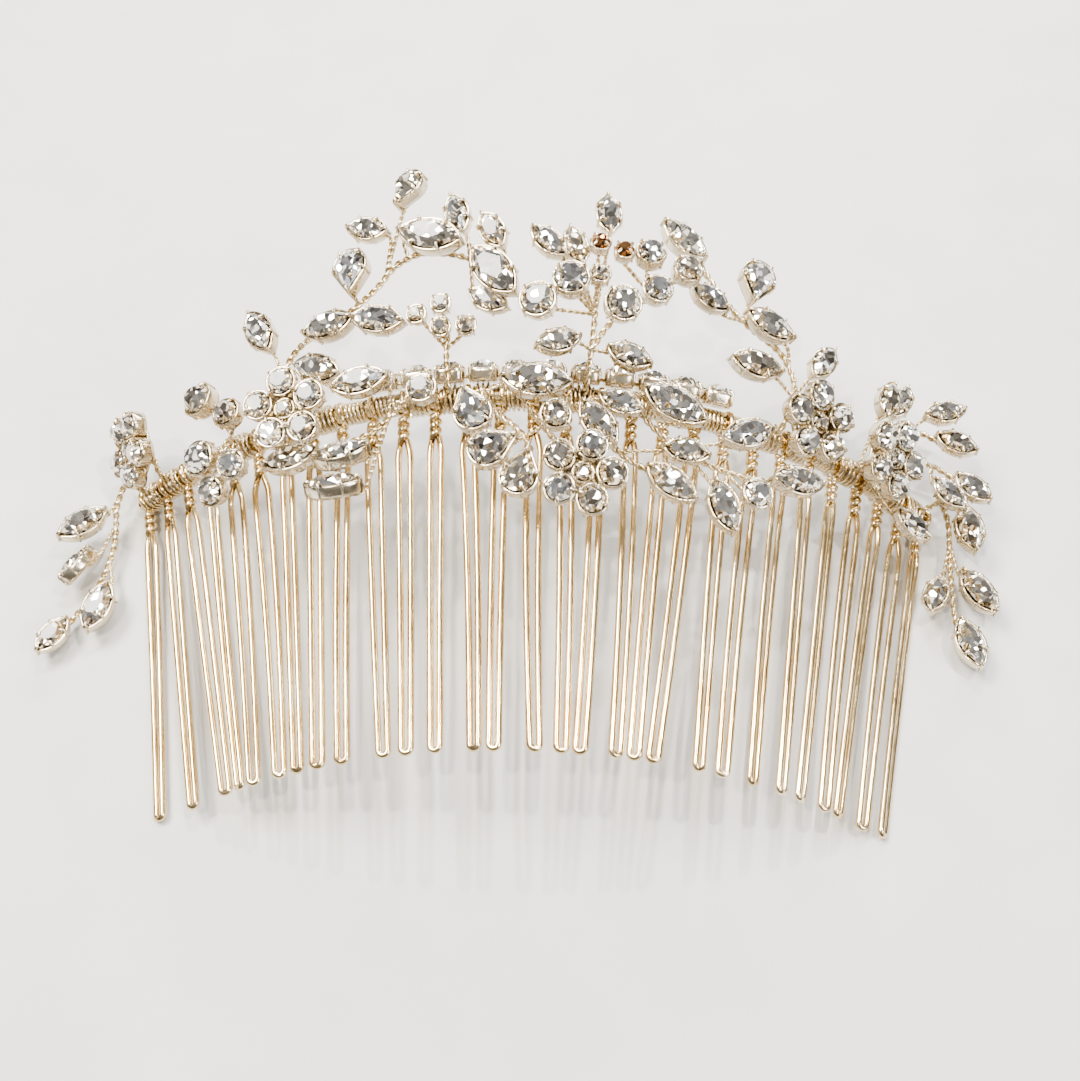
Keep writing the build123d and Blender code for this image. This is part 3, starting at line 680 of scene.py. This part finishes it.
def addFlower(petal, heart, point, tilt, spin, post):
    place = tilted(point, tilt)
    reach = (cupHalf(petal) + 0.06) / math.sin(math.radians(36))
    spray["plates"].append((spray["at"] @ place @ Matrix.Rotation(math.radians(spin), 4, "Z"), reach + 0.12))
    top = place @ Matrix.Translation((0, 0, 0.5))
    for petalNumber in range(5):
        turn = Matrix.Rotation(math.radians(spin + 72 * petalNumber), 4, "Z")
        addGem(top @ turn @ Matrix.Translation((reach, 0, 0)), petal)
    addGem(top, heart)
    ends = [tuple((place @ Matrix.Translation((0, 0, z))).translation) for z in (-fitting["stem"], fitting["solder"])]
    addPath("stems", [*post, *ends])


# a five-lobed backing plate with a soft edge
def plate(reach):
    count, verts, faces = 40, [], []
    rings = [(0.25, 0.02), (0.93, 0.0), (1.0, 0.12), (1.0, 0.38), (0.95, 0.5), (0.25, 0.5)]
    for scale, z in rings:
        for k in range(count):
            a = 2 * math.pi * k / count
            size = reach * scale * (0.95 + 0.05 * math.cos(5 * a))
            verts.append(Vector((size * math.cos(a), size * math.sin(a), z)))
    for r in range(len(rings) - 1):
        for k in range(count):
            a, b = r * count + k, r * count + (k + 1) % count
            faces.append((a, b, b + count, a + count))
    faces.append(tuple(reversed(range(count))))
    faces.append(tuple((len(rings) - 1) * count + k for k in range(count)))
    return verts, faces


twisted = {"strands": 2, "offset": 0.2, "radius": 0.215, "turn": 2.3, "spacing": 0.17, "sides": 7, "wobble": 0.05, "seed": 3}
twigTwist = {"strands": 2, "offset": 0.13, "radius": 0.14, "turn": 1.6, "spacing": 0.16, "sides": 6, "wobble": 0.05, "seed": 5}


def attach(piece, slotName, *nodes):
    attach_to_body(piece, "root")
    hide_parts(*nodes)


def camel(name):
    first, *rest = name.split("_")
    return first + "".join(word.title() for word in rest)


def finishSpray(square=False):
    name = camel(spray["name"])
    seed = 7 + len(spray["gems"]) + len(name)
    metal, stones = [], []
    if spray["stems"]:
        metal.append(wound("stems", spray["stems"], twisted, fineWire))
    if spray["twigs"]:
        metal.append(wound("twigs", spray["twigs"], twigTwist, fineWire))
    for kind, places in spray["gems"].items():
        shape = "bead" if kind == "warm" else kind
        metal.append(setShapes("cups", settingShapes["square" if square else shape], places, seed, settingMetal))
        seats = [place @ Matrix.Translation((0, 0, seatHeight(shape))) for place in places]
        stones.append(setShapes("stones", stoneShapes[shape], seats, seed, amber if kind == "warm" else crystal))
        seed += 1
    if spray["plates"]:
        lump = Lump()
        for place, reach in spray["plates"]:
            lump.add(plate(reach), place)
        metal.append(lump.piece("plates", settingMetal))
    attach(joinAll(name + "Frame", metal), "setting_metal", spray["name"] + "_frame")
    attach(joinAll(name + "Stones", stones), "crystal", spray["name"] + "_crystals")
    print(name, "built")


# ---------- teeth: one wire each, round the spine, twisted together, then down and back as a hairpin
teeth = {
    "lean": (-3.8, -0.5, 2.6, 1.2, -0.3, 0.3, -0.8, -1.6, -1.8, 0.5, -0.3, -0.2, 1.3, -0.1, 1.6, 1.2, -0.3, 0.7, -0.8, -2.2,
             0.7, 0.3, 1.2, 2.1, 1.5, 2.1, 0.8, 2.3, 2.6),
    "twistTurns": 1.5, "twistOffset": 0.41, "neckTop": 1.75, "neckFoot": 5.0, "shoulder": 6.7, "gapTop": 1.45, "gapTip": 1.05,
    "spin": 26.0, "bow": 0.25, "sides": 10,
}


def toothPath(lean):
    top, foot, offset = teeth["neckTop"], teeth["neckFoot"], teeth["twistOffset"]
    spin = math.radians(rng.uniform(-teeth["spin"], teeth["spin"]))
    bow = rng.uniform(-teeth["bow"], teeth["bow"])
    flare = rng.uniform(0.85, 1.2)
    strands = []
    for sign in (1, -1):
        strand = []
        for step in range(19):
            t = step / 18
            a = math.pi * 2 * teeth["twistTurns"] * t
            strand.append(Vector((sign * offset * math.cos(a), -top - (foot - top) * t, sign * offset * math.sin(a))))
        strands.append(strand)
    eye = []
    for step in range(1, 14):
        t = step / 14
        a = math.radians(-62 + 304 * t)
        eye.append(Vector((0.40 - 0.80 * t, eyeRadius * math.sin(a), eyeRadius * math.cos(a))))
    reach, legs = comb["reach"], []
    sideSign = -1 if strands[0][-1].x < 0 else 1
    bend = teeth["gapTip"] / 2
    down = [Vector((sideSign * teeth["gapTop"] / 2 * flare, -teeth["shoulder"], 0))]
    for step in range(1, 12):
        t = step / 11
        gap = (teeth["gapTop"] * flare * (1 - t) + teeth["gapTip"] * t) / 2
        y = -teeth["shoulder"] - (reach - bend - teeth["shoulder"]) * t
        down.append(Vector((sideSign * gap + bow * math.sin(math.pi * t), y, 0)))
    turn = []
    for step in range(1, 8):
        a = math.pi * step / 8
        turn.append(Vector((sideSign * bend * math.cos(a), -(reach - bend) - bend * math.sin(a), 0)))
    back = [Vector((-p.x + 2 * bow * math.sin(math.pi * i / 11), p.y, 0)) for i, p in enumerate(down)][::-1]
    for p in down + turn + back:
        share = min(1.0, (-p.y - foot) / 3)
        a = spin * share
        p.x, p.z = p.x * math.cos(a), p.x * math.sin(a)
        legs.append(p)
    path = list(reversed(eye)) + strands[0] + legs + list(reversed(strands[1]))
    leanTan = math.tan(math.radians(lean)) * comb["reach"] / (comb["reach"] - 3)
    for p in path:
        if p.y < -3:
            p.x += (-p.y - 3) * leanTan
    return path


for number in range(comb["teeth"]):
    place = combFrame(number - (comb["teeth"] - 1) / 2)
    path = [place @ p for p in toothPath(teeth["lean"][number])]
    sink = comb["wire"] / 2 - min(p.z for p in path)
    if sink > 0:
        inside = place.inverted()
        path = [p + Vector((0, 0, sink * (max(0.0, -(inside @ p).y) / comb["reach"]) ** 2)) for p in path]
    smooth = rounded(path, 0.32, 2)
    lump = Lump()
    lump.add(tube(smooth, comb["wire"] / 2, teeth["sides"]))
    tooth = lump.piece(f"toothWire{number + 1:02d}", combWire)
    attach(tooth, "comb_wire", f"tooth_{number + 1:02d}")
print("teeth built")

# ---------- binding: fine wire wound close round the spine between the eyes
winding = {"strands": 1, "offset": windRadius, "radius": 0.24, "turn": 0.51, "spacing": 0.045, "sides": 6, "wobble": 0.0, "seed": 1}
binding = []
for number in range(comb["teeth"] - 1):
    first = number - (comb["teeth"] - 1) / 2
    binding.append([combFrame(first + 0.13 + 0.74 * step / 6).translation for step in range(7)])
tied = {"strands": 1, "offset": windRadius + 0.42, "radius": 0.17, "turn": 0.62, "spacing": 0.05, "sides": 6, "wobble": 0.0, "seed": 2}
knots = []
for at in (-13.5, -12.5, -9.5, -7.5, -6.5, -3.5, -2.5, -1.5, -0.5, 0.5, 1.5, 2.5, 7.5, 8.5, 10.5, 12.5, 13.5):
    knots.append([combFrame(at + 0.28 * (step / 5 - 0.5) * 2).translation for step in range(6)])
turns = [wound("windings", binding, winding, fineWire), wound("ties", knots, tied, fineWire)]
attach(joinAll("spineBinding", turns), "binding_wire", "binding")
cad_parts["spine"].data.materials.clear()
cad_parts["spine"].data.materials.append(combWire)
print("binding wound")

# ---------- cup chain along the back of the spine
startSpray("cup_chain")
chain = {"first": -4.5, "last": 5.5, "tilt": 66.0, "gap": 0.02}
places = []
for step in range(11):
    standOn(combFrame(chain["first"] + step))
    back = Matrix.Rotation(math.radians(-chain["tilt"]), 4, "X")
    seat = back @ Matrix.Translation((0, 0, eyeRadius + comb["wire"] / 2 + chain["gap"]))
    addGem(seat, "round")
    places.append(spray["at"] @ seat)
for a, b in zip(places, places[1:]):
    ends = [a @ Vector((1.2, 0, 0.75)), b @ Vector((-1.2, 0, 0.75))]
    spray["twigs"].append([ends[0].lerp(ends[1], k / 8) for k in range(9)])
finishSpray(square=True)

# ---------- sprays, in the local frame of their root on the spine
# left arch: a stem that rises behind the spine and comes over to the middle
startSpray("left_arch")
standOn(combFrame(-7.5))
stem = root + [(0, 2.0, 3.8), (0.8, 7.6, 3.2), (3.5, 9.2, 3.6), (9.5, 9.8, 4.8), (14.4, 12.0, 5.2)]
stem += [(16.8, 14.2, 5.4), (20.5, 15.0, 5.2), (24.4, 13.6, 4.4), (27.4, 11.8, 3.6), (28.9, 10.2, 3.2)]
addStem(stem)
addLeaf("leaf", (-0.6, 8.2, 3.8), 112, 0, 0, middle(stem, 2))
addLeaf("leaf", (4.4, 8.6, 4.4), 1, 0, 0, middle(stem, 3))
addLeaf("leaf", (2.6, 5.8, 3.4), -28, 0, 10, middle(stem, 2))
addLeaf("pear", (11.4, 11.2, 5.4), 84, 0, 0, middle(stem, 5))
addLeaf("leaf", (11.0, 8.4, 5.0), -20, -6, 0, middle(stem, 4))
addLeaf("bud", (17.2, 17.8, 6.2), 160, 6, 0, middle(stem, 6))
addLeaf("drop", (19.0, 20.2, 6.6), 50, 0, -10, middle(stem, 6))
addLeaf("big", (18.6, 16.8, 6.6), -24, -8, 0, middle(stem, 7))
addLeaf("bud", (26.2, 15.0, 4.9), 98, 6, 0, middle(stem, 9))
addLeaf("big", (27.0, 12.8, 4.6), -60, -8, 0, middle(stem, 9))
addLeaf("bud", (30.2, 12.6, 3.2), 110, 8, 0, middle(stem, 10))
addLeaf("bud", (24.8, 9.4, 1.5), -38, -6, 0, middle(stem, 9))
finishSpray()

# left vine: runs down over the teeth towards the left end
startSpray("left_vine")
standOn(combFrame(-3.5))
stem = root + [(-1.4, -1.8, 3.2), (-4.6, -4.4, 2.4), (-9.0, -5.6, 1.8), (-13.6, -7.0, 1.6)]
addStem(stem)
addLeaf("leaf", (-2.4, 1.2, 4.0), -172, 0, 0, middle(stem, 2))
addLeaf("leaf", (-5.0, -7.8, 2.4), -172, 0, 40, middle(stem, 2))
addLeaf("leaf", (-6.0, -12.0, 2.1), -178, 0, 50, middle(stem, 2))
addLeaf("leaf", middle(stem, 4), -166, 0, 10)
addRose("round", (1.8, -1.6, 4.8), (0, 0, 0), middle(stem, 1))
finishSpray()

# left flowers: two of five petals, and two small clusters between them
startSpray("left_flowers")
standOn(combFrame(-6.5))
addFlower("round", "bead", (-1.8, -1.6, 6.1), (10, 6, 0), 18, root)
standOn(combFrame(-9.5))
stem = root + [(-0.3, -0.6, 3.4), (-0.5, -2.2, 3.2), (-0.6, -4.6, 3.0)]
addStem(stem)
addRose("largeRound", (-1.6, 4.4, 4.8), (-6, -8, 0), middle(stem, 0))
addRose("round", (1.8, 1.4, 4.6), (0, 6, 0), middle(stem, 1))
addRose("largeRound", (-1.8, -3.4, 5.0), (8, -6, 0), middle(stem, 2))
addRose("round", (1.8, -5.2, 4.4), (14, 8, 0), middle(stem, 3))
addRose("round", (-1.2, -7.4, 4.2), (20, -4, 0), middle(stem, 3))
standOn(combFrame(-12.5))
addFlower("round", "bead", (-1.0, 3.8, 4.2), (10, -22, 0), 40, root)
finishSpray()

# left drop: hangs off the end of the spine, down to the table
startSpray("left_drop")
standOn(levelFrame(-13.5))
stem = levelRoot(-13.5) + [(-3.8, 0.8, 1.8), (-4.8, -2.2, 0.6), (-4.2, -7.0, -0.2), (-5.0, -11.6, -0.8)]
stem += [(-7.2, -16.0, -1.2), (-9.2, -19.0, -1.4)]
addStem(stem)
addLeaf("leaf", (-5.4, -3.4, 0.6), -140, 4, 0, middle(stem, 2))
addLeaf("bud", (-5.8, -8.8, 0.0), -122, 0, 60, middle(stem, 3))
addLeaf("leaf", (-3.8, -12.8, -0.8), -104, 0, 0, middle(stem, 4))
addLeaf("bud", middle(stem, 6), -122)
finishSpray()

# middle flowers: a small one behind the spine and a hanging one over the teeth
startSpray("middle_flowers")
standOn(combFrame(-2.5))
stem = root + [(0.1, 2.4, 4.2), (0.2, 6.6, 4.0)]
addStem(stem)
addRose("bead", (-3.0, 8.4, 5.0), (8, -6, 0), middle(stem, 2))
addRose("bead", (-0.2, 9.4, 5.2), (4, 0, 0), middle(stem, 2))
addRose("bead", (-0.2, 6.4, 5.2), (12, 0, 0), middle(stem, 2))
addRose("bead", (2.6, 6.4, 5.0), (8, 8, 0), middle(stem, 2))
standOn(combFrame(-0.5))
post = root + [(1.4, -2.6, 2.4), (5.2, -7.6, 1.9), (7.3, -10.8, 2.2)]
addFlower("round", "bead", (7.6, -12.2, 4.2), (10, 4, 0), 0, post)
finishSpray()

# centre spray: pears, a leaf and a round stone under the spine
startSpray("centre_spray")
standOn(combFrame(-1.5))
stem = root + [(0.4, -1.8, 3.4), (1.8, -4.0, 3.4), (4.2, -6.0, 3.6), (5.7, -8.2, 3.6), (5.7, -10.2, 3.6)]
addStem(stem)
addLeaf("pear", (-2.0, -1.2, 3.8), -70, 0, 0, middle(stem, 1))
addLeaf("big", (2.4, -0.6, 4.4), -7, -2, 0, middle(stem, 1))
addLeaf("pear", (4.4, -7.8, 4.0), -154, 0, 0, middle(stem, 4))
addLeaf("pear", middle(stem, 5), -108)
addRose("round", (8.6, -5.4, 4.4), (6, 6, 0), middle(stem, 4))
finishSpray()

# centre vine
startSpray("centre_vine")
standOn(combFrame(0.5))
stem = root + [(1.6, -1.4, 3.0), (3.4, -3.2, 2.6), (6.4, -6.6, 2.4), (9.4, -9.2, 2.6), (12.4, -10.6, 2.2)]
addStem(stem)
addLeaf("leaf", (3.4, -2.8, 3.6), -54, 0, 0, middle(stem, 2))
addLeaf("bud", (5.4, -1.6, 3.4), -22, 0, 0, middle(stem, 2))
addLeaf("leaf", middle(stem, 5), -34, -6)
addLeaf("bud", (12.8, -7.6, 2.6), -10, 0, 0, middle(stem, 4))
finishSpray()

# right vine
startSpray("right_vine")
standOn(combFrame(2.5))
stem = root + [(1.6, -1.6, 3.0), (4.4, -4.6, 2.8), (10.2, -8.0, 2.8), (15.1, -8.9, 2.2), (20.6, -8.2, 0.9)]
addStem(stem)
addLeaf("big", (2.2, -0.4, 4.0), -26, 0, 0, middle(stem, 1))
addLeaf("leaf", (11.6, -5.4, 3.2), 22, -6, 0, middle(stem, 3))
addLeaf("leaf", middle(stem, 5), 4, -14)
addLeaf("leaf", (10.9, -10.2, 3.0), -68, -4, 0, middle(stem, 3))
addRose("round", (15.8, -11.6, 3.4), (6, 6, 0), middle(stem, 4))
finishSpray()

# centre flower: round stones on posts, with leaves and two small warm stones
startSpray("centre_flower")
standOn(combFrame(1.5))
stem = root + [(0, 1.6, 4.8), (0.2, 5.0, 7.0), (0.3, 9.6, 7.4)]
addStem(stem)
sideStem = [middle(stem, 2), (2.0, 6.6, 6.9), (5.6, 9.8, 7.4), (6.6, 12.2, 7.6)]
addStem(sideStem)
addRose("bead", (0.4, 10.6, 9.2), (-6, 0, 0), middle(stem, 3))
addRose("largeRound", (-6.2, 6.8, 9.0), (8, -14, 0), middle(stem, 3))
addRose("largeRound", (-2.8, 9.6, 9.2), (0, -6, 0), middle(stem, 3))
addRose("largeRound", (2.9, 7.2, 9.2), (10, 6, 0), middle(sideStem, 1))
addRose("round", (6.8, 9.4, 9.0), (0, 8, 0), middle(sideStem, 1))
addRose("round", (10.2, 12.4, 8.8), (-6, 12, 0), middle(sideStem, 2))
addRose("round", (6.0, 13.8, 9.2), (-10, 4, 0), middle(sideStem, 2))
addRose("bead", (0.2, 14.4, 9.8), (-8, 0, 0), middle(stem, 3), warm=True)
addRose("bead", (3.0, 13.6, 9.8), (-8, 0, 0), middle(sideStem, 2), warm=True)
addLeaf("bud", (1.4, 16.4, 8.8), 96, 0, 0, middle(stem, 3))
addLeaf("bud", (-3.6, 12.8, 9.0), 140, 0, 0, middle(stem, 3))
addLeaf("bud", (-1.6, 13.0, 7.0), 108, 0, 0, middle(stem, 3))
addLeaf("bud", (-1.4, 3.6, 7.0), 200, 4, 0, middle(stem, 2))
addLeaf("bud", (1.8, 3.2, 6.0), -20, 0, 0, middle(stem, 2))
finishSpray()

# right arch: leans back over the middle
startSpray("right_arch")
standOn(combFrame(7.5))
stem = root + [(0.4, 2.0, 3.8), (1.2, 6.6, 3.2), (-1.0, 10.2, 3.0), (-5.4, 11.4, 3.4), (-8.8, 12.4, 4.2)]
stem += [(-12.8, 15.2, 4.8), (-15.4, 17.6, 5.2)]
addStem(stem)
addLeaf("leaf", (-0.8, 11.0, 3.8), 166, 0, 0, middle(stem, 3))
addLeaf("pear", (-7.0, 13.6, 4.2), 86, 0, 0, middle(stem, 5))
addLeaf("bud", (-10.0, 11.2, 4.4), 158, -4, 0, middle(stem, 5))
addLeaf("leaf", middle(stem, 7), 148, -6)
addLeaf("bud", (2.4, 7.2, 3.6), 62, 0, 0, middle(stem, 2))
addLeaf("leaf", (-1.4, 6.4, 3.2), 180, -4, 0, middle(stem, 2))
finishSpray()

# right flowers: two of five petals
startSpray("right_flowers")
standOn(combFrame(8.5))
addFlower("round", "bead", (-1.6, 0.6, 5.0), (10, 8, 0), 30, root)
standOn(combFrame(10.5))
addFlower("round", "bead", (1.2, 0.6, 5.2), (14, 12, 0), 8, root)
addLeaf("bud", (1.0, 6.6, 3.4), 84, 0, 0, middle(root, 0))
addLeaf("bud", (5.6, -4.0, 2.4), -30, 10, 0, middle(root, 0))
finishSpray()

# right end spray: two short stems off the end of the spine
startSpray("right_end")
standOn(levelFrame(12.5))
stem = levelRoot(12.5) + [(1.0, 2.4, 3.6), (0.4, 7.0, 3.4), (3.6, 8.2, 3.2), (7.4, 6.2, 2.4)]
lowStem = [middle(stem, 1), (3.8, 4.4, 1.8), (6.8, 4.0, 0.6), (9.4, 1.8, 0.2)]
addStem(stem)
addStem(lowStem)
addLeaf("bud", (-0.2, 8.8, 3.8), 62, 0, 0, middle(stem, 2))
addLeaf("bud", (4.0, 9.4, 3.8), 10, 0, 0, middle(stem, 3))
addLeaf("bud", middle(stem, 4), -26)
addLeaf("bud", (5.0, 1.6, 1.2), -50, 0, 0, middle(lowStem, 1))
addLeaf("bud", middle(lowStem, 2), -44)
finishSpray()

# right drop: hangs off the other end, down to the table
startSpray("right_drop")
standOn(levelFrame(13.5))
stem = levelRoot(13.5) + [(3.6, 0.8, 1.8), (4.6, -2.0, 0.6), (4.4, -6.8, -0.4), (4.2, -12.0, -1.0)]
stem.append((4.6, -17.4, -1.4))
addStem(stem)
addLeaf("leaf", (6.2, 0.2, 0.8), -84, 0, 0, middle(stem, 1))
addLeaf("leaf", (5.2, -8.4, -0.4), -58, -2, 0, middle(stem, 3))
addLeaf("bud", (3.2, -9.4, -0.6), -112, 0, 20, middle(stem, 3))
addLeaf("leaf", middle(stem, 5), -74)
finishSpray()

# ---------- floor, light and camera
floor = newMesh("floor", [(-1.5, -1.5, 0), (1.5, -1.5, 0), (1.5, 1.5, 0), (-1.5, 1.5, 0)], [(0, 1, 2, 3)])
floorSkin, floorTree, floorBase = newMaterial("paleFloor")
dust = addNode(floorTree, "ShaderNodeTexNoise", {"Scale": 90.0, "Detail": 4.0})
floorTree.links.new(addNode(floorTree, "ShaderNodeTexCoord").outputs["Object"], dust.inputs["Vector"])
floorTree.links.new(ramp(floorTree, dust.outputs["Fac"], [(0.3, (0.60, 0.60, 0.61)), (0.7, (0.64, 0.64, 0.64))]), floorBase.inputs["Base Color"])
floorBase.inputs["Roughness"].default_value = 0.6
floor.data.materials.append(floorSkin)

for shapes in (stoneShapes, settingShapes):
    for shape in shapes.values():
        bpy.data.objects.remove(shape)


def areaLight(name, spot, aim, size, power, color):
    lamp = bpy.data.lights.new(name, "AREA")
    lamp.shape = "RECTANGLE"
    lamp.size, lamp.size_y = size
    lamp.energy = power
    lamp.color = color
    holder = bpy.data.objects.new(name, lamp)
    bpy.context.scene.collection.objects.link(holder)
    holder.location = spot
    holder.rotation_euler = (Vector(aim) - Vector(spot)).to_track_quat("-Z", "Y").to_euler()
    return holder


centre = (0, 0, 0.012)
lights = (
    ("key", (-0.22, 0.10, 0.42), (0.22, 0.16), 3.4, (1.0, 0.95, 0.87)),
    ("fill", (0.34, -0.16, 0.30), (0.20, 0.20), 1.3, (0.90, 0.95, 1.0)),
    ("back", (0.06, 0.36, 0.20), (0.34, 0.06), 1.5, (1.0, 0.97, 0.92)),
    ("sparkLeft", (-0.10, -0.10, 0.40), (0.012, 0.012), 0.8, (1.0, 0.88, 0.70)),
    ("sparkRight", (0.13, 0.02, 0.38), (0.012, 0.012), 0.8, (1.0, 0.90, 0.76)),
    ("sparkBack", (0.02, 0.20, 0.34), (0.010, 0.010), 0.6, (0.92, 0.96, 1.0)),
)
for name, spot, size, power, color in lights:
    areaLight(name, spot, centre, size, power, color)
world = bpy.data.worlds.new("studio")
bpy.context.scene.world = world
world.use_nodes = True
sky = world.node_tree
backdrop = sky.nodes["Background"]
up = addNode(sky, "ShaderNodeSeparateXYZ")
sky.links.new(addNode(sky, "ShaderNodeTexCoord").outputs["Generated"], up.inputs[0])
sky.links.new(ramp(sky, up.outputs["Z"], [(0.0, (0.20, 0.19, 0.18)), (0.45, (0.30, 0.29, 0.28)), (0.8, (0.50, 0.50, 0.49)), (1.0, (0.34, 0.34, 0.34))]), backdrop.inputs["Color"])
backdrop.inputs["Strength"].default_value = 0.8

view = {"position": (3.34, -75.76, 147.79), "forward": (-0.00743, 0.46842, -0.88348), "down": (0.02405, -0.88316, -0.46845), "lens": 43.3}
lens = bpy.data.cameras.new("camera")
lens.lens = view["lens"]
lens.sensor_width = 36.0
lens.clip_start = 0.005
camera = bpy.data.objects.new("camera", lens)
forward, down = Vector(view["forward"]), Vector(view["down"])
camera.matrix_world = axes(down.cross(forward), -down, -forward, Vector(view["position"]) * mm)
bpy.context.scene.collection.objects.link(camera)
bpy.context.scene.camera = camera
bpy.context.scene.view_settings.view_transform = "AgX"
bpy.context.scene.view_settings.look = "AgX - Medium High Contrast"
